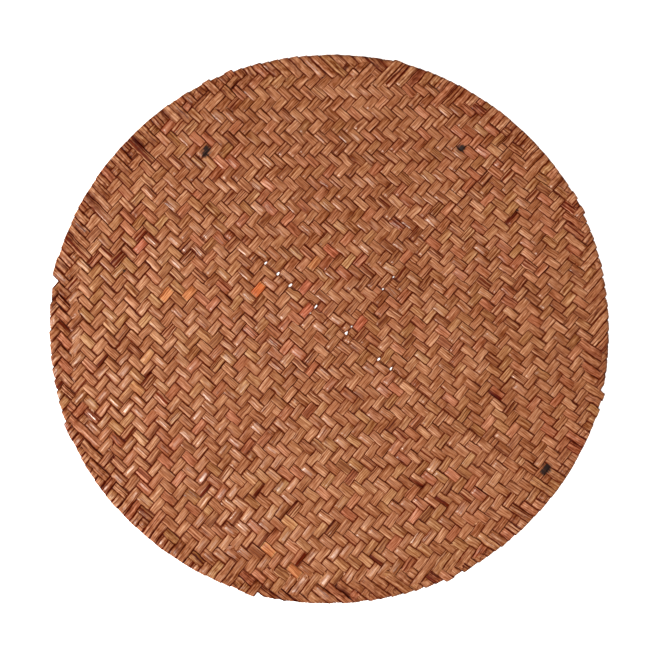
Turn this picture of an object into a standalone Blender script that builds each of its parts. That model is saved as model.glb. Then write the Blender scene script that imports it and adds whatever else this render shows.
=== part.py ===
"""Round placemat plaited from flat strips of dried leaf.

The mat is one plaited sheet: strips of two families cross at right angles in a twill that is
worked outwards from the middle, so its rows of floats run as squares, one inside another.
Every strip is folded over at the edge and tucked back, which makes a thicker band round the
rim with the folded ends side by side, each one lapping the next.

Metres, +Z up, +Y towards the top of the mat. The origin is on the table, under the middle.
"""

import math
import random

import bmesh
import bpy

# Driving sizes
MEAN_RADIUS = 0.1887
FIELD_CREST = 0.0020  # two layers of strip and the air between them
ROW_GROOVE = 0.00045  # how far the field dips where one row of floats meets the next
RIM_HEIGHT = 0.0029  # four layers, where the folded ends lie over the field's edge
RIM_BAND = 0.0150  # how far a folded end reaches in from the edge
BAND_INNER_HEIGHT = 0.0025
BAND_SLOPE = 0.0020  # plan width of the slope from the band down to the field

# The outline swells and draws in round the mat, which is wider than it is deep.
# Columns: waves round the edge, height of a crest, azimuth of a crest in degrees.
EDGE_WAVES = (
    (1, 0.00030, -90.0),
    (2, 0.00181, 0.0),
    (3, 0.00024, -43.0),
    (8, 0.00030, -18.0),
)

# The rim has four runs of folded ends. A run starts with strips that meet the edge well
# aslant, passes the strip that meets it head on, and stops before the slant grows again.
HEAD_ON_AZIMUTHS = (50.0, 140.0, 230.0, 320.0)
ENDS_BEFORE_HEAD_ON = 30
ENDS_AFTER_HEAD_ON = 14
STRIP_PITCH = MEAN_RADIUS / math.hypot(ENDS_BEFORE_HEAD_ON + 0.5, ENDS_AFTER_HEAD_ON + 0.5)

# The folded ends
END_SQUARENESS = 0.45  # 1 is a fold square to its strip, 0 one that follows the edge
END_JITTER = 0.00025  # how unevenly the ends are drawn up
END_GAP = 0.00022  # half of the gap between two ends, along the edge
LAP_TILT = 0.00022  # one side of an end stands up by this, and the other lies down by it
LEAN_FADE = 0.030  # the slant of the ends dies out over this much edge, where two runs meet

# Section of the rim, from the foot outwards, up and in. Columns: inset from the edge,
# height, share of the steps between the ends, share of the lap's tilt.
RIM_SECTION = (
    (0.00110, 0.00000, 0.4, 0.0),
    (0.00020, 0.00065, 0.9, 0.0),
    (0.00000, 0.00150, 1.0, 0.3),
    (0.00025, 0.00225, 1.0, 0.7),
    (0.00130, RIM_HEIGHT - LAP_TILT, 0.8, 1.0),
)

# The plaited field
WEAVE_MIDDLE = (0.0016, -0.0019)  # the twill starts a little off the middle of the outline
WEAVE_TURN = math.radians(HEAD_ON_AZIMUTHS[0])  # the corners of its squares lie this way
ROW_STRIPS = 2  # each row of floats is two strips wide
FIRST_GROOVE = 1.5 * STRIP_PITCH  # from the middle to the first groove, along a strip
FIELD_INSET = RIM_BAND + 0.0004
FIELD_ROUND_POINTS = 120
CUTTER_FOOT = 0.0012  # under the deepest groove
CUTTER_TOP = 0.0060
AIR_TOP = 0.0070

STRAW_COLOUR = (0.347, 0.127, 0.060, 1.0)
STRAW_ROUGHNESS = 0.45


def clear_scene():
    for old in list(bpy.data.objects):
        bpy.data.objects.remove(old, do_unlink=True)


def new_collection(name):
    collection = bpy.data.collections.new(name)
    bpy.context.scene.collection.children.link(collection)
    return collection


def make_guide(obj, guides):
    """A cutter is seen as wires and is not part of the mat."""
    guides.objects.link(obj)
    obj.hide_render = True
    obj.display_type = "WIRE"


def edge_radius(azimuth):
    """Distance of the outline from the origin, at an azimuth in radians."""
    radius = MEAN_RADIUS
    for waves, height, crest in EDGE_WAVES:
        radius += height * math.cos(waves * (azimuth - math.radians(crest)))
    return radius


def folded_ends():
    """A row for each side of each folded end, anticlockwise round the mat: azimuth, how far
    the fold steps out there, which side of the end it is, and the strip's slant."""
    jitter = random.Random(5)
    rows = []
    for head_on in HEAD_ON_AZIMUTHS:
        for number in range(-ENDS_BEFORE_HEAD_ON, ENDS_AFTER_HEAD_ON + 1):
            drawn_up = jitter.uniform(-END_JITTER, END_JITTER)
            for side in (-1, 1):
                offset = number * STRIP_PITCH + side * (STRIP_PITCH / 2 - END_GAP)
                slant = math.asin(offset / MEAN_RADIUS)
                squareness = END_SQUARENESS * math.cos(slant) ** 2
                step = side * STRIP_PITCH / 2 * math.sin(slant) * squareness
                rows.append((math.radians(head_on) + slant, step + drawn_up, side, slant))
    return rows


def lean(slant):
    """1 along most of a run of ends, falling to 0 where it meets the next run."""
    run_start = -math.asin((ENDS_BEFORE_HEAD_ON + 0.5) * STRIP_PITCH / MEAN_RADIUS)
    run_end = math.asin((ENDS_AFTER_HEAD_ON + 0.5) * STRIP_PITCH / MEAN_RADIUS)
    to_next_run = MEAN_RADIUS * min(slant - run_start, run_end - slant)
    return min(1.0, to_next_run / LEAN_FADE)


def band_inner_point(azimuth, slant):
    """Where a side of a folded end stops at the band's inner edge. The end runs in from the
    edge along its strip, so a slanting one is carried sideways and reaches in less far."""
    radius = edge_radius(azimuth) - RIM_BAND * (1 + math.cos(slant)) / 2
    sideways = RIM_BAND * math.sin(slant) * lean(slant)
    turned = azimuth - sideways / MEAN_RADIUS
    return (radius * math.cos(turned), radius * math.sin(turned), BAND_INNER_HEIGHT)


def loft(name, rings):
    """A closed body through rings of equally many points, listed from the foot up."""
    mesh = bmesh.new()
    loops = [[mesh.verts.new(point) for point in ring] for ring in rings]
    for lower, upper in zip(loops, loops[1:]):
        for number, corner in enumerate(lower):
            onward = (number + 1) % len(lower)
            mesh.faces.new((corner, lower[onward], upper[onward], upper[number]))
    mesh.faces.new(reversed(loops[0]))
    mesh.faces.new(loops[-1])
    data = bpy.data.meshes.new(name)
    mesh.to_mesh(data)
    mesh.free()
    return bpy.data.objects.new(name, data)


def plaited_body():
    """The sheet with its rounded rim and folded ends, as high inside as the band."""
    ends = folded_ends()
    rings = []
    for inset, height, step_share, tilt_share in RIM_SECTION:
        ring = []
        for azimuth, step, side, _ in ends:
            radius = edge_radius(azimuth) - inset + step * step_share
            lift = -side * LAP_TILT * tilt_share
            ring.append((radius * math.cos(azimuth), radius * math.sin(azimuth), height + lift))
        rings.append(ring)
    rings.append([band_inner_point(azimuth, slant) for azimuth, _, _, slant in ends])
    return loft("woven_mat", rings)


def field_ring(inset, height):
    ring = []
    for number in range(FIELD_ROUND_POINTS):
        azimuth = 2 * math.pi * number / FIELD_ROUND_POINTS
        radius = edge_radius(azimuth) - inset
        ring.append((radius * math.cos(azimuth), radius * math.sin(azimuth), height))
    return ring


def field_plan():
    """The round of the field inside the band, narrower below, for the band's slope."""
    slope = BAND_SLOPE / (BAND_INNER_HEIGHT - FIELD_CREST)
    foot_inset = FIELD_INSET + slope * (BAND_INNER_HEIGHT - CUTTER_FOOT)
    rings = [
        field_ring(foot_inset, CUTTER_FOOT),
        field_ring(FIELD_INSET, BAND_INNER_HEIGHT),
        field_ring(FIELD_INSET, CUTTER_TOP),
    ]
    return loft("field_plan", rings)


def field_air():
    """The air over the field. Its under face is a zigzag profile turned in four steps, which
    makes the squares of the twill's rows, with a groove wherever two rows meet."""
    reach = MEAN_RADIUS * math.sqrt(2)
    under = [(0.0, FIELD_CREST)]
    groove = FIRST_GROOVE
    while groove < reach - ROW_STRIPS * STRIP_PITCH:
        under.append((groove, FIELD_CREST - ROW_GROOVE))
        under.append((groove + ROW_STRIPS / 2 * STRIP_PITCH, FIELD_CREST))
        groove += ROW_STRIPS * STRIP_PITCH
    under.append((reach, FIELD_CREST))
    profile = [(0.0, AIR_TOP), (reach, AIR_TOP), *reversed(under)]

    data = bpy.data.meshes.new("field_air")
    points = [(across, 0.0, height) for across, height in profile]
    edges = [(number, number + 1) for number in range(len(points) - 1)]
    data.from_pydata(points, edges, [])
    obj = bpy.data.objects.new("field_air", data)
    obj.location = (*WEAVE_MIDDLE, 0.0)
    obj.rotation_euler = (0.0, 0.0, WEAVE_TURN)
    turned = obj.modifiers.new("square_turns", "SCREW")
    turned.steps = 4
    turned.render_steps = 4
    turned.use_smooth_shade = False
    turned.use_merge_vertices = True
    turned.merge_threshold = 0.00005
    return obj


def add_boolean(obj, operation, other):
    modifier = obj.modifiers.new(other.name, "BOOLEAN")
    modifier.operation = operation
    modifier.solver = "EXACT"
    modifier.object = other


def straw_material():
    material = bpy.data.materials.new("dried_leaf_strip")
    material.use_nodes = True
    shader = material.node_tree.nodes["Principled BSDF"]
    shader.inputs["Base Color"].default_value = STRAW_COLOUR
    shader.inputs["Roughness"].default_value = STRAW_ROUGHNESS
    shader.inputs["Metallic"].default_value = 0.0
    return material


def build_placemat():
    placemat = new_collection("placemat")
    cutters = new_collection("cutters")
    plan = field_plan()
    make_guide(plan, cutters)
    air = field_air()
    make_guide(air, cutters)
    add_boolean(air, "INTERSECT", plan)
    mat = plaited_body()
    placemat.objects.link(mat)
    mat.data.materials.append(straw_material())
    add_boolean(mat, "DIFFERENCE", air)


clear_scene()
build_placemat()
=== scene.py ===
import math

import bmesh
import bpy
import numpy as np
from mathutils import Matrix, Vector


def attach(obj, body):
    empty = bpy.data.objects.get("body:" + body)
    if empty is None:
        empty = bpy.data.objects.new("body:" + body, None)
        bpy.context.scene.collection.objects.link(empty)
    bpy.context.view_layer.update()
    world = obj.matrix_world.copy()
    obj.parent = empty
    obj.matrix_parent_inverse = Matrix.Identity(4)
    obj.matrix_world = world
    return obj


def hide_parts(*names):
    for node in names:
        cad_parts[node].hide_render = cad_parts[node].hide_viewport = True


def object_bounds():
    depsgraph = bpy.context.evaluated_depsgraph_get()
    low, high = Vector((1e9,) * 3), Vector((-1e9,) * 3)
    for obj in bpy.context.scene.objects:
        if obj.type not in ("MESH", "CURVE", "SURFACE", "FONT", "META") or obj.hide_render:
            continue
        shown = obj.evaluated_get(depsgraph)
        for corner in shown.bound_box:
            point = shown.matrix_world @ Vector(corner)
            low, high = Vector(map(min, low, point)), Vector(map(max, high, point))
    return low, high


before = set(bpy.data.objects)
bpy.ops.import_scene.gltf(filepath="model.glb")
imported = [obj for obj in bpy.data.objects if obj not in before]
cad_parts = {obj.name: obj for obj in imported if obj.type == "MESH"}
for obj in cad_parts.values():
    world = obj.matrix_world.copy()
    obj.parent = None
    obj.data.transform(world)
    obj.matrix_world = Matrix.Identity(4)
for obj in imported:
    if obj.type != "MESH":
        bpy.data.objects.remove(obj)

cad_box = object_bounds()


# The round of the mat
# A flat mat of dried leaf, a little wider than it is deep. Its edge swells and draws in softly
# where the strips were pulled up, and everything below is laid out inside this outline.
mm = 0.001
mat_width = cad_box[1][0] - cad_box[0][0]
mat_depth = cad_box[1][1] - cad_box[0][1]
mat_height = cad_box[1][2]
end_steps = 0.12 * mm  # the folded ends step out past the mean outline by this
mat_radius = (mat_width + mat_depth) / 4 - end_steps
mat_width_px = 561  # the width of the mat in the picture
pixel = mat_width / mat_width_px
middle_pixel = (329.5, 329.0)

# Columns: waves round the edge, height of a crest, azimuth of a crest in degrees.
edge_waves = (
    (1, 0.30 * mm, -90),
    (2, 1.81 * mm, 0),
    (3, 0.24 * mm, -43),
    (8, 0.30 * mm, -18),
)


def edge_radius(azimuth):
    radius = mat_radius
    for waves, height, crest in edge_waves:
        radius = radius + height * np.cos(waves * (azimuth - math.radians(crest)))
    return radius


# The lie of the strips
# Two families of strips cross at right angles. The rising ones run up to the right, the
# falling ones up to the left, and both are bowed, because the plaiting was pulled round.
ends_before_head_on = 30.5
ends_after_head_on = 14.5
pitch = mat_radius / math.hypot(ends_before_head_on, ends_after_head_on)
rising_azimuth = math.radians(50)
falling_azimuth = math.radians(140)
weave_middle = np.array([3.4 * mm, 0.3 * mm])  # a little off the middle of the outline

# How the plaiting was pulled while it was worked, as distances at the mat's edge. A family's
# strips are bowed along their length, pushed over towards one side, and fanned apart.
falling_bow = 9.5 * mm
falling_push = -7.0 * mm
falling_fan = -6.0 * mm
rising_bow = -3.5 * mm
rising_push = 3.0 * mm
rising_fan = -8.5 * mm

rising_way = np.array([math.cos(rising_azimuth), math.sin(rising_azimuth)])
falling_way = np.array([math.cos(falling_azimuth), math.sin(falling_azimuth)])


def on_mat(along_rising, along_falling):
    """Plan position of a point given along the two families, as arrays of x and y."""
    far_rising = along_rising / mat_radius
    far_falling = along_falling / mat_radius
    crossed = far_rising * far_falling
    rise = along_rising + falling_bow * far_falling**2 + falling_push * far_rising**2
    rise = rise + falling_fan * crossed
    fall = along_falling + rising_bow * far_rising**2 + rising_push * far_falling**2
    fall = fall + rising_fan * crossed
    x = weave_middle[0] + rise * rising_way[0] + fall * falling_way[0]
    y = weave_middle[1] + rise * rising_way[1] + fall * falling_way[1]
    return x, y


def strip_plan(rising, along, aside):
    return on_mat(along, aside) if rising else on_mat(aside, along)


def inside_edge(x, y):
    """How far a point lies inside the mat's edge."""
    return edge_radius(np.arctan2(y, x)) - np.hypot(x, y)


# The rim has four runs of folded ends, and the rising strips' ends are the upper ones in the
# first and the third. Columns: azimuth in degrees where a run starts, and how far in the ends
# lie over the others in its second half, in pitches.
end_runs = (
    (-12.8, 1.45),
    (77.0, 1.70),
    (169.8, 1.20),
    (255.4, 1.10),
)


def place_in_runs(x, y):
    """Whether the rising ends are on top here, the degrees into this run, and its reach."""
    first_start = end_runs[0][0]
    azimuth = (math.degrees(math.atan2(y, x)) - first_start) % 360 + first_start
    run = sum(azimuth >= start for start, _ in end_runs) - 1
    start, late_reach = end_runs[run]
    return run % 2 == 0, azimuth - start, late_reach


# The twill
# Each strip goes over two and under two, and the pattern is stepped outwards from the middle
# in four quarters, so that the floats lie in rows that run as squares, one inside another.
early_reach = 0.95  # pitches in that the ends lie over the others, in the first half of a run
held_reach = 0.9  # pitches further in where one float of the others holds the ends down,
first_part = 10  # in the run's first part, up to this many degrees into it,
middle_part = 30  # and again from this many degrees
second_half = 44  # to where its second half starts
rim_reach = 4  # pitches from the edge, and further in than this there is only twill
farthest = 70  # strips and crossings are numbered from the middle, out to this both ways
strip_count = 2 * farthest + 1
last_floats = np.random.default_rng(11).uniform(-0.45, 0.45, (2, strip_count))


def rising_is_over(rising_number, falling_number):
    """Whether the rising strip is the upper one where these two cross."""
    # The middle strip of each family was laid in last, a step out from both its sides.
    from_row = rising_number if rising_number >= -1 else -1 - rising_number
    from_column = falling_number if falling_number > 0 else -1 - falling_number
    by_twill = (from_row + from_column) % 4 in (3, 0)
    x, y = on_mat(falling_number * pitch, rising_number * pitch)
    inset = inside_edge(x, y) / pitch
    if inset > rim_reach:
        return by_twill
    rising_on_top, into_run, late_reach = place_in_runs(x, y)
    number = rising_number if rising_on_top else falling_number
    # The last floats are shorter in the first half of a run, where the ends slant more.
    reach = late_reach if into_run > second_half else early_reach
    reach += last_floats[int(rising_on_top), number + farthest]
    if inset < reach:
        return rising_on_top
    held_down = into_run < first_part or middle_part < into_run < second_half
    if held_down and inset < reach + held_reach:
        return not rising_on_top
    return by_twill


# A strip
# A split of dried leaf, dyed and pressed flat, about 5 mm wide and half a millimetre thick.
# It is soft enough to dip under its neighbours and to be folded flat at the rim.
strip_width = 6.0 * mm  # a little over the pitch, so that neighbours press on one another
strip_thickness = 0.5 * mm
edge_wobble = 0.26 * mm  # how far the line between two strips strays, for the whole strip
float_wobble = 0.22 * mm  # and from one crossing to the next
float_slack = 0.08  # a float may be this much narrower than its place
strip_level = 1.0 * mm  # height of the middle of the field's two layers
weave_lift = 0.42 * mm  # a strip's middle rises and dips by this over and under others
float_arch = 0.06 * mm  # and a float is this much higher again at its middle
strip_crown = 0.05 * mm  # a strip is a little higher along its middle than near its edges
edge_drop = 0.28 * mm  # and rounds off by this at the very edge
float_tilt = 0.27 * mm  # one side of a float stands up by this and the other lies down
float_puff = 0.10 * mm  # some floats stand a little prouder than others
strip_share = 0.35  # how much of a float's shade it has from its strip
shine_rarity = 1.7  # the higher, the fewer floats shine
float_pinch = 0.07  # share by which a float is narrower where it dips under another strip
rim_lift = 0.75 * mm  # the rim is raised by the ends tucked under it
rim_lift_width = 15 * mm
rim_darkening_width = 17 * mm  # the rim is darker than the field over this width
loose_pinch = 0.02  # share by which floats are narrower where the plait is loose
loose_lift = 0.30  # and by which they ride higher there
loose_crown = 1.6  # and by which they are rounder
across = np.array([-1.0, -0.84, -0.45, 0.0, 0.45, 0.84, 1.0])  # points across, in half widths

tail_level = 0.42 * mm  # the tucked ends lie along the table
tail_rise = 0.35 * mm  # and their tips rise into the mat by this
tail_length = 15 * mm
lowest = 0.52 * strip_thickness  # a strip's middle surface stays this far above the table
hidden_inset = 3.0 * mm  # the under family's ends stop short of the edge by this
fold_turn = np.array([0.25, 0.5, 0.75, 1.0])  # rows round the half turn of a fold
fold_squareness = 0.3  # 1 is a fold square to its strip, 0 one that follows the edge
fold_stray = 0.03  # how far a fold turns at random, in radians
steepest_fold = 1.1  # a fold is never further than this from square, in radians
drawn_up = (-0.20 * mm, 0.25 * mm)  # how unevenly the ends are drawn up
skew_length = 12 * mm  # the rows turn to lie along the fold over this length
flatten_length = 5 * mm  # and the strip flattens towards it over this one
row_step = pitch / 4
tail_step = 1.5 * row_step
most_stray = 0.8 * mm  # a line between two strips strays no further than this

dice = np.random.default_rng(20)
# Where the line between a strip and its next neighbour runs, by family, strip and crossing.
lines_between = dice.normal(0, edge_wobble, (2, strip_count, 1))
lines_between = lines_between + dice.normal(0, float_wobble, (2, strip_count, strip_count))
lines_between = np.clip(lines_between, -most_stray, most_stray)

# Small holes where four strips draw apart. Columns: the rising strip below the hole, the falling
# strip before it, and how far the rising and the falling strips stand back from it.
holes = (
    (11, 0, 0.60 * mm, 1.15 * mm),
    (9, 0, 0.65 * mm, 1.25 * mm),
    (7, 0, 0.70 * mm, 1.35 * mm),
    (3, 0, 0.70 * mm, 1.50 * mm),
    (3, -1, 0.35 * mm, 0.60 * mm),
    (-2, 0, 1.20 * mm, 1.40 * mm),
    (-2, 1, 0.35 * mm, 0.65 * mm),
    (-7, 0, 0.65 * mm, 1.15 * mm),
    (-9, 0, 0.65 * mm, 1.25 * mm),
    (-2, 7, 0.45 * mm, 0.75 * mm),
    (-2, 9, 0.35 * mm, 0.65 * mm),
)
stand_back = np.zeros((2, strip_count, strip_count))
for rising_number, falling_number, rising_back, falling_back in holes:
    row, column = rising_number + farthest, falling_number + farthest
    stand_back[1, row, column:column + 2] = rising_back
    stand_back[0, column, row:row + 2] = falling_back

# Floats whose colour stands out. Columns: pixels across and down in the picture,
# then the float's tone, hue and ribs, as in the dyed leaf below.
marked_floats = (
    (257, 291, 0.85, 1.4, 0.1),
    (303, 309, 0.80, -0.25, 0.2),
    (312, 306, 0.75, -0.25, 0.2),
    (314, 261, 0.60, 1.15, 0.1),
    (326, 252, 0.65, -0.2, 0.1),
    (303, 288, 0.80, -0.2, 0.2),
    (361, 325, 0.65, -0.25, 0.5),
    (69, 300, -0.30, 0.9, 1.3),
    (122, 245, -0.10, 0.4, 1.0),
    (579, 256, 0.90, 1.3, 0.1),
    (266, 553, 0.95, 1.20, 0.1),
    (291, 573, 0.95, 1.20, 0.1),
    (168, 468, 1.10, 1.10, 0.1),
    (190, 439, 1.10, 0.80, 0.1),
    (191, 490, 1.10, 1.05, 0.1),
    (216, 514, 1.00, 1.10, 0.3),
    (240, 484, 1.10, 1.10, 0.2),
    (290, 525, 1.10, 1.05, 0.1),
    (242, 534, 1.00, 1.05, 0.1),
    (142, 441, 1.20, 0.80, 0.1),
    (190, 293, 0.95, 1.2, 0.1),
    (170, 292, 0.90, 1.2, 0.1),
    (145, 246, 0.70, -0.25, 0.2),
    (148, 318, 0.95, 1.1, 0.1),
    (141, 391, 1.00, 1.1, 0.1),
    (145, 357, 1.00, 1.1, 0.1),
    (135, 313, 1.60, 0.5, 0.9),
    (146, 323, 1.20, 0.9, 0.1),
    (110, 357, 1.20, 0.5, 0.3),
    (88, 342, 1.20, 0.9, 0.2),
    (302, 313, 0.45, 0.4, 1.3),
    (322, 318, 0.40, 0.5, 1.3),
    (252, 262, 0.30, 0.5, 1.3),
    (367, 268, 0.40, 0.5, 1.3),
    (512, 290, 0.10, 0.2, 1.3),
    (511, 216, 0.00, 0.2, 1.3),
)
mark_reach_px = 5  # a mark takes the float whose middle is nearer to it than this

# Spots where the leaf is nearly black. Columns: pixels across and down, and width in pixels.
dark_spots = (
    (207, 149, 9),
    (205, 154, 9),
    (461, 148, 9),
    (547, 468, 11),
    (543, 472, 7),
    (124, 271, 4),
    (517, 210, 4),
)

# Folded ends that stand out from the rim. Columns: azimuth in degrees, and by how much.
proud_ends = (
    (25.5, 1.3 * mm),
    (28.5, 0.8 * mm),
    (75.0, 1.2 * mm),
    (76.6, 1.5 * mm),
    (112.0, 1.3 * mm),
    (116.0, 0.8 * mm),
    (166.0, 1.0 * mm),
    (169.0, 1.4 * mm),
    (200.0, 1.3 * mm),
    (203.0, 1.0 * mm),
    (252.0, 0.8 * mm),
    (254.0, 1.6 * mm),
    (296.0, 1.3 * mm),
    (299.0, 0.8 * mm),
    (343.5, 0.9 * mm),
    (346.0, 1.6 * mm),
)
proud_width = 0.9  # half the azimuth, in degrees, that a proud end takes up


def smooth(x):
    x = np.clip(x, 0.0, 1.0)
    return x * x * (3 - 2 * x)


def in_picture(x, y):
    """Pixels across and down in the picture, for a place on the mat."""
    return middle_pixel[0] + x / pixel, middle_pixel[1] - y / pixel


def looseness_and_left_light(x, y):
    """1 at the left, where the plait was drawn up least and the leaf has painted light, and 0 from
    the middle to the right.
    """
    at_left = smooth((-x - 50 * mm) / (90 * mm)) * smooth((130 * mm - y) / (90 * mm))
    at_rim = 0.35 * smooth(1.3 - inside_edge(x, y) / (20 * mm))
    return np.maximum(at_left, at_rim)


def end_of_strip(rising, aside, outward):
    """Where a strip's centre line comes to its fold: distance along, and the fold itself."""
    near, far = 0.0, 1.3 * mat_radius * outward
    for _ in range(40):
        middle = (near + far) / 2
        x, y = strip_plan(rising, middle, aside)
        on_top = place_in_runs(x, y)[0] == rising
        inset = 0.0 if on_top else hidden_inset
        if inside_edge(x, y) > inset:
            near = middle
        else:
            far = middle
    x, y = strip_plan(rising, near, aside)
    return near, place_in_runs(x, y)[0] == rising, x, y


def over_and_under(rising, number, first, last):
    """+1 where the strip is over and -1 where it is under, for each crossing in turn."""
    signs = []
    for crossing in range(first, last + 1):
        if rising:
            over = rising_is_over(number, crossing)
        else:
            over = not rising_is_over(crossing, number)
        signs.append(1 if over else -1)
    return np.array(signs)


class Strip:
    """One strip from fold to fold, with its tucked tails, as rows of points across it."""

    def __init__(self, rising, number):
        self.rising = rising
        self.number = number
        self.aside = number * pitch
        self.ends = [end_of_strip(rising, self.aside, outward) for outward in (-1, 1)]
        start, stop = self.ends[0][0], self.ends[1][0]
        self.long_enough = stop - start > 6 * pitch
        if not self.long_enough:
            return
        self.first = math.floor(start / pitch) - 3
        self.last = math.ceil(stop / pitch) + 3
        self.signs = over_and_under(rising, number, self.first, self.last)
        self.draw_floats()
        self.lay(start, stop)

    def draw_floats(self):
        """Give each float its own place, tilt, width and shade."""
        count = len(self.signs)
        strip_shade = dice.uniform(0, 1, 3)
        starts = [0] + [n for n in range(1, count) if self.signs[n] != self.signs[n - 1]]
        starts.append(count)
        self.middle = np.zeros(count)
        self.length = np.zeros(count)
        self.tilt = np.zeros(count)
        crossings = slice(self.first + farthest, self.last + farthest + 1)
        own_lines = lines_between[int(self.rising), :, crossings]
        back = stand_back[int(self.rising), :, crossings]
        own_row = self.number + farthest
        before = own_lines[own_row - 1] + back[own_row - 1]
        after = own_lines[own_row] - back[own_row]
        self.wander = (before + after) / 2
        self.width = strip_width + after - before
        self.puff = np.zeros(count)
        self.gloss = np.zeros(count)
        self.shade = np.zeros((count, 3))
        for begin, end in zip(starts, starts[1:]):
            own = slice(begin, end)
            self.middle[own] = (begin + end - 1) / 2 + self.first
            self.length[own] = end - begin
            self.tilt[own] = dice.uniform(-float_tilt, float_tilt)
            if self.signs[begin] > 0:
                self.width[own] *= dice.uniform(1 - float_slack, 1.0)
            self.puff[own] = dice.uniform(-float_puff, float_puff)
            self.gloss[own] = dice.uniform(0, 1) ** shine_rarity
            own_shade = dice.uniform(0, 1, 3)
            self.shade[own] = strip_share * strip_shade + (1 - strip_share) * own_shade
            if self.signs[begin] > 0:
                middle = (begin + end - 1) / 2 + self.first
                x, y = strip_plan(self.rising, middle * pitch, self.aside)
                across_px, down_px = in_picture(x, y)
                for mark_across, mark_down, *mark_shade in marked_floats:
                    away = math.hypot(mark_across - across_px, mark_down - down_px)
                    if away < mark_reach_px:
                        self.shade[own] = mark_shade

    def sample(self, values, along):
        """Read a value that each crossing has, blended halfway between crossings."""
        place = along / pitch - self.first
        low = np.clip(np.floor(place).astype(int), 0, len(values) - 2)
        part = smooth((place - low - 0.25) / 0.5)
        if values.ndim == 2:
            part = part[..., None]
        return values[low] * (1 - part) + values[low + 1] * part

    def height(self, along, share):
        """What raises the strip's middle surface: its lift over or under the others, crown and
        tilt, and how far it is from dipping. Share runs from -1 to 1 across the strip."""
        place = along / pitch - self.first
        near = np.clip(np.round(place).astype(int), 0, len(self.signs) - 1)
        offset = place - near
        beside = np.clip(near + np.where(offset > 0, 1, -1), 0, len(self.signs) - 1)
        sign = self.signs[near]
        dips = self.signs[beside] != sign
        wave = np.where(dips, smooth((0.5 - np.abs(offset)) / 0.25), 1.0)
        from_middle = (along / pitch - self.middle[near]) / (self.length[near] / 2)
        arch = float_arch * np.clip(1 - from_middle**2, 0, 1)
        lift = sign * (weave_lift * wave + arch) + self.sample(self.puff, along) * wave
        rounding = strip_crown * share**2 + edge_drop * smooth((np.abs(share) - 0.8) / 0.2)
        crown = -sign * wave * rounding
        tilt = self.sample(self.tilt, along) * share * wave
        return lift, crown, tilt, wave

    def lay(self, start, stop):
        """Work out every point: the field, the fold at each end, and the tails."""
        rows = np.arange(math.ceil(start / row_step), math.floor(stop / row_step) + 1) * row_step
        rows = rows[(rows > start + 0.3 * row_step) & (rows < stop - 0.3 * row_step)]
        folds = []
        for outward, (at, on_top, x, y) in zip((-1, 1), self.ends):
            azimuth = math.atan2(y, x)
            ahead = np.array(strip_plan(self.rising, at + outward * 0.1 * mm, self.aside))
            way = ahead - np.array([x, y])
            heading = math.atan2(way[1], way[0])
            slant = (azimuth - heading + math.pi) % (2 * math.pi) - math.pi
            squareness = fold_squareness * math.cos(slant) ** 4
            turn = (1 - squareness) * slant + dice.uniform(-fold_stray, fold_stray)
            turn = max(-steepest_fold, min(steepest_fold, turn))
            normal = heading + turn
            level = strip_level + rim_lift + (weave_lift if on_top else -weave_lift)
            bottom = tail_level if on_top else tail_level + strip_thickness
            radius = (level - bottom) / 2
            drawn = dice.uniform(*drawn_up)
            for proud_azimuth, proud_by in proud_ends:
                away = abs((math.degrees(azimuth) - proud_azimuth + 180) % 360 - 180)
                if on_top and away < proud_width:
                    drawn += proud_by
            pull = radius + strip_thickness / 2 - drawn if on_top else 0.0
            folds.append({
                "at": at - outward * pull / max(math.cos(slant), 0.3),
                "outward": outward,
                "normal": np.array([math.cos(normal), math.sin(normal)]),
                "turn": turn,
                "radius": radius,
                "level": level,
            })
        begin, end = folds
        rows = rows[(rows > begin["at"]) & (rows < end["at"])]

        def beyond(fold):
            arc = math.pi * fold["radius"] * fold_turn
            tail = np.arange(1, round(tail_length / tail_step) + 1) * tail_step
            distances = np.concatenate([[0.0], arc, arc[-1] + tail]) / math.cos(fold["turn"])
            return fold["at"] + fold["outward"] * distances

        along = np.concatenate([beyond(begin)[::-1], rows, beyond(end)])[:, None]
        share = across[None, :] + 0 * along
        self.loose_and_lit_left = looseness_and_left_light(*strip_plan(self.rising, along, self.aside)) + 0 * share
        half = self.sample(self.width, along) / 2 * (1 - loose_pinch * self.loose_and_lit_left)
        half = half * (1 - float_pinch * (1 - self.height(along, share)[3]))
        sideways = half * share

        # The rows turn from square with the strip to lie along the fold.
        for fold in folds:
            to_fold = (fold["at"] - along) * fold["outward"]
            skew = smooth(1 - to_fold / skew_length)
            # Positive aside is to the left of a rising strip and to the right of a falling one.
            hand = 1 if self.rising else -1
            along = along + skew * sideways * math.tan(fold["turn"]) * hand
        aside = self.aside + self.sample(self.wander, along) + sideways
        x, y = strip_plan(self.rising, along, aside)

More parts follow.
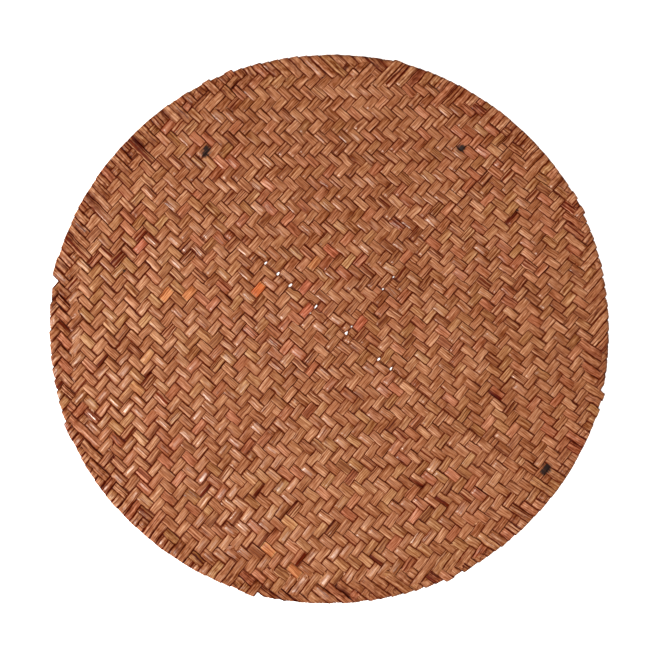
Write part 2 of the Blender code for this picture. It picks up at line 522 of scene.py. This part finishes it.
        lift, crown, tilt, wave = self.height(along, share)
        raised = rim_lift * smooth(1 - inside_edge(x, y) / rim_lift_width)
        z = strip_level + raised + lift * (1 + loose_lift * self.loose_and_lit_left)
        z = z + crown * (1 + loose_crown * self.loose_and_lit_left) + tilt
        for fold in folds:
            centre = np.array(strip_plan(self.rising, fold["at"], self.aside))
            past = (x - centre[0]) * fold["normal"][0] + (y - centre[1]) * fold["normal"][1]
            near_fold = smooth(1 + past / flatten_length)
            z = z * (1 - near_fold) + fold["level"] * near_fold
            radius = fold["radius"]
            angle = np.clip(past / radius, 0, math.pi)
            folded = past > 0
            reach = np.where(past > math.pi * radius, math.pi * radius - past, radius * np.sin(angle))
            back = np.where(folded, reach - past, 0.0)
            x = x + back * fold["normal"][0]
            y = y + back * fold["normal"][1]
            z = np.where(folded, fold["level"] - radius * (1 - np.cos(angle)), z)
            tucked = smooth((past - math.pi * radius - 0.5 * tail_length) / (0.5 * tail_length))
            z = z + np.where(folded, tucked * tail_rise, 0.0)
        z = np.maximum(z, lowest)
        self.points = np.stack([x, y, z], axis=-1)
        self.along = along
        self.across = share * strip_width / 2
        # Painted shade: floats are made darker towards where they dip under another strip.
        dip_shade = np.maximum(1 - wave, 0)
        across_px, down_px = in_picture(x, y)
        self.spot = 0 * x
        for spot_across, spot_down, spot_width in dark_spots:
            away = np.hypot(across_px - spot_across, down_px - spot_down) / (spot_width / 2)
            self.spot = np.maximum(self.spot, smooth(0.9 - 0.5 * away))
        self.tones = np.concatenate([self.sample(self.shade, along), dip_shade[..., None]], axis=-1)
        from_upper_left = np.cos(np.arctan2(y, x) - math.radians(150))
        inset = inside_edge(x, y) / rim_darkening_width
        self.rim_darkening = smooth(1.2 - inset) * (0.5 + 0.5 * smooth(inset / 0.6))
        self.rim_darkening = self.rim_darkening * (0.8 + 0.2 * from_upper_left)
        self.film = self.sample(self.gloss, along) + 0 * share
        self.flat_length = float(along.max() - along.min())


uv_lane = 20 * mm  # each strip of a bundle has a lane of the UV map to itself
uv_start = 370 * mm  # and starts this much further along it


def leaf_mesh(name, strips):
    """Join strips into one mesh, with their run as a UV map and their colours as attributes."""
    shape = bmesh.new()
    for strip in strips:
        rows, columns = strip.points.shape[:2]
        grid = bmesh.ops.create_grid(shape, x_segments=columns - 1, y_segments=rows - 1, size=1.0)
        for vert, place in zip(grid["verts"], strip.points.reshape(-1, 3)):
            vert.co = place
    bmesh.ops.recalc_face_normals(shape, faces=shape.faces[:])
    mesh = bpy.data.meshes.new(name)
    shape.to_mesh(mesh)
    shape.free()
    mesh.shade_smooth()

    run = np.concatenate([
        np.stack([strip.along + uv_start * n, strip.across + uv_lane * n], axis=-1).reshape(-1, 2)
        for n, strip in enumerate(strips, start=1)
    ])
    tones = np.concatenate([strip.tones.reshape(-1, 4) for strip in strips])
    extras = {
        "rim_darkening": [strip.rim_darkening.ravel() for strip in strips],
        "dark_spot": [strip.spot.ravel() for strip in strips],
        "film": [strip.film.ravel() for strip in strips],
        "loose_and_lit_left": [strip.loose_and_lit_left.ravel() for strip in strips],
    }
    corners = np.zeros(len(mesh.loops), dtype=np.int32)
    mesh.loops.foreach_get("vertex_index", corners)
    uv = mesh.uv_layers.new(name="along_strip")
    uv.data.foreach_set("uv", run[corners].astype(np.float32).ravel())
    shade = mesh.color_attributes.new("leaf_shade", "FLOAT_COLOR", "POINT")
    shade.data.foreach_set("color", tones.astype(np.float32).ravel())
    for extra_name, values in extras.items():
        extra = mesh.attributes.new(extra_name, "FLOAT", "POINT")
        extra.data.foreach_set("value", np.concatenate(values).astype(np.float32))
    return mesh


# Dyed leaf
# Reddish brown, satin, with the leaf's ribs along each strip. The dye took unevenly, so floats
# run from olive brown through terracotta to bright orange. Edges and ends have painted shade.
def leaf_material():
    material = bpy.data.materials.new("dyed_leaf")
    material.use_nodes = True
    nodes = material.node_tree.nodes
    links = material.node_tree.links
    shader = nodes["Principled BSDF"]

    run = nodes.new("ShaderNodeUVMap")
    run.uv_map = "along_strip"
    shade = nodes.new("ShaderNodeAttribute")
    shade.attribute_name = "leaf_shade"
    tones = nodes.new("ShaderNodeSeparateColor")
    links.new(shade.outputs["Color"], tones.inputs["Color"])

    def from_mesh(name):
        attribute = nodes.new("ShaderNodeAttribute")
        attribute.attribute_name = name
        return attribute.outputs["Fac"]

    rim = from_mesh("rim_darkening")
    loose_and_lit_left = from_mesh("loose_and_lit_left")

    def grain(name, along, over, detail):
        """Streaks drawn out along the strip; along and over are their counts per metre."""
        stretch = nodes.new("ShaderNodeMapping")
        stretch.name = name
        stretch.inputs["Scale"].default_value = (along, over, 1.0)
        links.new(run.outputs["UV"], stretch.inputs["Vector"])
        noise = nodes.new("ShaderNodeTexNoise")
        noise.inputs["Scale"].default_value = 1.0
        noise.inputs["Detail"].default_value = detail
        noise.inputs["Roughness"].default_value = 0.6
        links.new(stretch.outputs["Vector"], noise.inputs["Vector"])
        return noise.outputs["Fac"]

    def span(value, low, high, new_low, new_high):
        remap = nodes.new("ShaderNodeMapRange")
        for socket, number in zip(("From Min", "From Max", "To Min", "To Max"),
                                  (low, high, new_low, new_high)):
            remap.inputs[socket].default_value = number
        links.new(value, remap.inputs["Value"])
        return remap.outputs["Result"]

    def combine(operation, first, second):
        math_node = nodes.new("ShaderNodeMath")
        math_node.operation = operation
        for socket, value in zip(math_node.inputs, (first, second)):
            if isinstance(value, float):
                socket.default_value = value
            else:
                links.new(value, socket)
        return math_node.outputs["Value"]

    def tint(blend, amount, colour, change):
        mix = nodes.new("ShaderNodeMix")
        mix.data_type = "RGBA"
        mix.blend_type = blend
        if isinstance(amount, float):
            mix.inputs["Factor"].default_value = amount
        else:
            links.new(amount, mix.inputs["Factor"])
        links.new(colour, mix.inputs[6])
        if isinstance(change, tuple):
            mix.inputs[7].default_value = change
        else:
            links.new(change, mix.inputs[7])
        return mix.outputs[2]

    streaks = grain("streaks", 50.0, 1000.0, 3.0)
    ribs = grain("ribs", 14.0, 800.0, 1.0)
    blotches = grain("blotches", 160.0, 260.0, 3.0)

    # Colour: a float's own tone, shifted by streaks and blotches. The more dye the leaf took,
    # the darker and the redder it is.
    tone = combine("ADD", span(tones.outputs["Red"], 0.0, 1.0, 0.34, 0.72),
                   span(streaks, 0.35, 0.65, -0.36, 0.36))
    tone = combine("ADD", tone, span(blotches, 0.3, 0.7, -0.14, 0.14))
    scratches = span(grain("scratches", 150.0, 1500.0, 1.0), 0.35, 0.65, -0.16, 0.16)
    tone = combine("ADD", tone, scratches)
    mottle = span(grain("mottle", 300.0, 330.0, 1.0), 0.35, 0.65, -0.48, 0.13)
    tone = combine("ADD", tone, combine("MULTIPLY", rim, mottle))
    # Painted light: the leaf is painted lighter at the left, and a little near the rim.
    tone = combine("ADD", tone, combine("MULTIPLY", loose_and_lit_left, 0.09))
    ramp = nodes.new("ShaderNodeValToRGB")
    stops = ramp.color_ramp.elements
    # Columns: place on the ramp, linear red, green, blue
    dyed = (
        (0.00, 0.105, 0.018, 0.003),
        (0.20, 0.188, 0.047, 0.012),
        (0.40, 0.270, 0.088, 0.033),
        (0.60, 0.345, 0.134, 0.060),
        (0.80, 0.425, 0.183, 0.090),
        (1.00, 0.580, 0.300, 0.170),
    )
    while len(stops) < len(dyed):
        stops.new(0.5)
    for stop, (place, red, green, blue) in zip(stops, dyed):
        stop.position = place
        stop.color = (red, green, blue, 1.0)
    links.new(tone, ramp.inputs["Fac"])
    colour = ramp.outputs["Color"]
    olive = span(tones.outputs["Green"], 0.60, 0.95, 0.0, 0.45)
    colour = tint("MULTIPLY", olive, colour, (0.86, 1.02, 0.66, 1.0))
    red_dye = span(tones.outputs["Green"], 0.10, 0.35, 0.7, 0.0)
    colour = tint("MULTIPLY", red_dye, colour, (0.98, 0.72, 0.74, 1.0))
    bright_red = span(tones.outputs["Green"], -0.4, 0.0, 1.0, 0.0)
    colour = tint("MULTIPLY", bright_red, colour, (1.10, 0.78, 0.80, 1.0))
    orange = span(tones.outputs["Green"], 1.0, 1.4, 0.0, 1.0)
    colour = tint("MULTIPLY", orange, colour, (1.20, 0.60, 0.38, 1.0))

    # Ribs: dark lines along the strip, deep in a few floats and faint in most
    ribbed = combine("SUBTRACT", 1.0, span(ribs, 0.38, 0.46, 0.0, 1.0))
    rib_depth = span(tones.outputs["Blue"], 0.50, 0.85, 0.12, 1.0)
    rib_depth = combine("ADD", rib_depth, combine("MULTIPLY", rim, 0.35))
    rib_depth = combine("ADD", rib_depth, combine("MULTIPLY", loose_and_lit_left, 0.25))
    # The deepest dye, used for the dark ribs and for the painted shade at edges and float ends.
    deep_dye_and_shade = (0.27, 0.06, 0.002, 1.0)
    colour = tint("MULTIPLY", combine("MULTIPLY", ribbed, rib_depth), colour, deep_dye_and_shade)

    # Painted shade: the strips' edges, where they meet their neighbours, and the ends of floats where
    # they tuck in are painted darker
    sides = nodes.new("ShaderNodeSeparateXYZ")
    links.new(run.outputs["UV"], sides.inputs["Vector"])
    own_side = combine("PINGPONG", sides.outputs["Y"], uv_lane / 2)
    own_side = combine("ADD", own_side, span(blotches, 0.3, 0.7, -0.4 * mm, 0.4 * mm))
    # Painted shade: the dark lines at the strips' edges are painted wider at the left and near the
    # rim.
    own_side = combine("ADD", own_side, combine("MULTIPLY", loose_and_lit_left, 0.1 * mm))
    own_side = combine("ADD", own_side, combine("MULTIPLY", rim, 0.2 * mm))
    edge_shade = span(own_side, 2.35 * mm, 2.75 * mm, 0.0, 1.0)
    ends = span(shade.outputs["Alpha"], 0.45, 0.95, 0.0, 1.0)
    painted_shade = combine("MAXIMUM", edge_shade, ends)
    colour = tint("MULTIPLY", painted_shade, colour, deep_dye_and_shade)

    # Spots: small scorched knots in the leaf, blue-black with a frayed outline
    spot = combine("ADD", from_mesh("dark_spot"), span(streaks, 0.35, 0.65, -0.30, 0.30))
    spot = span(spot, 0.35, 0.65, 0.0, 1.0)
    colour = tint("MIX", spot, colour, (0.022, 0.012, 0.010, 1.0))
    links.new(colour, shader.inputs["Base Color"])

    # Lacquer: a thin satin film on the tops of the floats, worn off along the ribs
    worn = grain("worn", 18.0, 640.0, 1.0)
    lacquer = combine("MULTIPLY", span(worn, 0.47, 0.53, 0.04, 1.0), from_mesh("film"))
    lacquer = combine("SUBTRACT", lacquer, span(ribs, 0.38, 0.50, 0.9, 0.0))
    off_ends = span(shade.outputs["Alpha"], 0.0, 0.35, 1.0, 0.0)
    lacquer = combine("MULTIPLY", lacquer, off_ends)
    lacquer = combine("MULTIPLY", lacquer, span(rim, 0.0, 1.0, 1.0, 0.3))
    lacquer = combine("MULTIPLY", lacquer, combine("SUBTRACT", 1.0, edge_shade))
    lacquer = combine("MULTIPLY", lacquer, combine("SUBTRACT", 1.0, spot))
    links.new(span(lacquer, 0.0, 1.0, 0.0, 1.0), shader.inputs["Coat Weight"])  # clamped
    shader.inputs["Coat Roughness"].default_value = 0.23
    shader.inputs["Specular IOR Level"].default_value = 0.05

    links.new(span(streaks, 0.3, 0.7, 0.30, 0.52), shader.inputs["Roughness"])
    relief = combine("SUBTRACT", streaks, ribbed)
    bump = nodes.new("ShaderNodeBump")
    bump.inputs["Strength"].default_value = 0.8
    bump.inputs["Distance"].default_value = 0.00012
    links.new(relief, bump.inputs["Height"])
    links.new(bump.outputs["Normal"], shader.inputs["Normal"])
    links.new(bump.outputs["Normal"], shader.inputs["Coat Normal"])
    return material


dyed_leaf = leaf_material()


# The field of strips
# The strips of each family lie side by side, in bundles of about five, and are plaited through
# the other family's. Their ends are folded flat at the rim and tucked back underneath.
bundles_in_family = 14
outermost = 34


def add_bundle(name, strips):
    mesh = leaf_mesh(name, strips)
    bundle = bpy.data.objects.new(name, mesh)
    bpy.context.scene.collection.objects.link(bundle)
    mesh.materials.append(dyed_leaf)
    body = bundle.modifiers.new("leaf_thickness", "SOLIDIFY")
    body.thickness = strip_thickness
    body.offset = 0.0
    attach(bundle, "root")
    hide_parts("woven_mat")
    return bundle


for rising, family in ((True, "rising"), (False, "falling")):
    made = [Strip(rising, number) for number in range(-outermost, outermost + 1)]
    made = [strip for strip in made if strip.long_enough]
    bounds = [round(n * len(made) / bundles_in_family) for n in range(bundles_in_family + 1)]
    for n, (begin, end) in enumerate(zip(bounds, bounds[1:]), start=1):
        add_bundle(f"{family}_strips_{n:02d}", made[begin:end])


# The table and the light
# A plain white table under a broad soft light from the upper left, with a low fill all round,
# seen from straight above.
floor_shape = bmesh.new()
bmesh.ops.create_grid(floor_shape, x_segments=1, y_segments=1, size=3.0)
floor_mesh = bpy.data.meshes.new("table_top")
floor_shape.to_mesh(floor_mesh)
floor_shape.free()
table_top = bpy.data.objects.new("table_top", floor_mesh)
bpy.context.scene.collection.objects.link(table_top)
table_white = bpy.data.materials.new("table_white")
table_white.use_nodes = True
white_shader = table_white.node_tree.nodes["Principled BSDF"]
white_shader.inputs["Base Color"].default_value = (0.9, 0.9, 0.9, 1.0)
white_shader.inputs["Roughness"].default_value = 0.8
white_shader.inputs["Emission Color"].default_value = (1.0, 1.0, 1.0, 1.0)
white_shader.inputs["Emission Strength"].default_value = 0.8
floor_mesh.materials.append(table_white)

room = bpy.data.worlds.new("studio")
room.use_nodes = True
room_light = room.node_tree.nodes["Background"]
room_light.inputs["Color"].default_value = (1.0, 1.0, 1.0, 1.0)
room_light.inputs["Strength"].default_value = 0.06
bpy.context.scene.world = room


def add_softbox(name, place, aim, size, watts, colour=(1.0, 1.0, 1.0)):
    light = bpy.data.lights.new(name, "AREA")
    light.color = colour
    light.shape = "RECTANGLE"
    light.size = size[0]
    light.size_y = size[1]
    light.energy = watts
    lamp = bpy.data.objects.new(name, light)
    lamp.location = place
    toward = [end - start for start, end in zip(place, aim)]
    lamp.rotation_euler = Vector(toward).to_track_quat("-Z", "Y").to_euler()
    bpy.context.scene.collection.objects.link(lamp)


add_softbox("key_softbox", (-1.7, -0.8, 2.2), (0.0, 0.0, 0.0), (0.7, 0.7), 47.0,
            colour=(0.96, 1.0, 1.0))
add_softbox("window_softbox", (-0.50, -0.28, 2.6), (0.0, 0.0, 0.0), (0.3, 0.3), 38.0,
            colour=(1.0, 0.90, 0.80))
add_softbox("low_softbox", (-1.4, -0.5, 0.7), (0.0, 0.0, 0.0), (0.4, 0.4), 13.0)
add_softbox("right_softbox", (1.2, 0.2, 1.1), (0.0, 0.0, 0.0), (0.9, 0.9), 3.0)
add_softbox("far_softbox", (-0.3, 1.3, 1.1), (0.0, 0.0, 0.0), (0.9, 0.9), 4.0)
add_softbox("near_softbox", (0.2, -1.3, 1.1), (0.0, 0.0, 0.0), (0.9, 0.9), 4.0)

photo_width_px = 660
camera_height = 1.7
seen_width = photo_width_px * pixel
camera = bpy.data.cameras.new("overhead")
camera.sensor_width = 36.0
camera.lens = camera.sensor_width * (camera_height - mat_height / 2) / seen_width
camera.clip_end = 20.0
overhead = bpy.data.objects.new("overhead", camera)
overhead.location = ((photo_width_px / 2 - middle_pixel[0]) * pixel,
                     (middle_pixel[1] - photo_width_px / 2) * pixel, camera_height)
bpy.context.scene.collection.objects.link(overhead)
bpy.context.scene.camera = overhead
bpy.context.scene.view_settings.view_transform = "Standard"
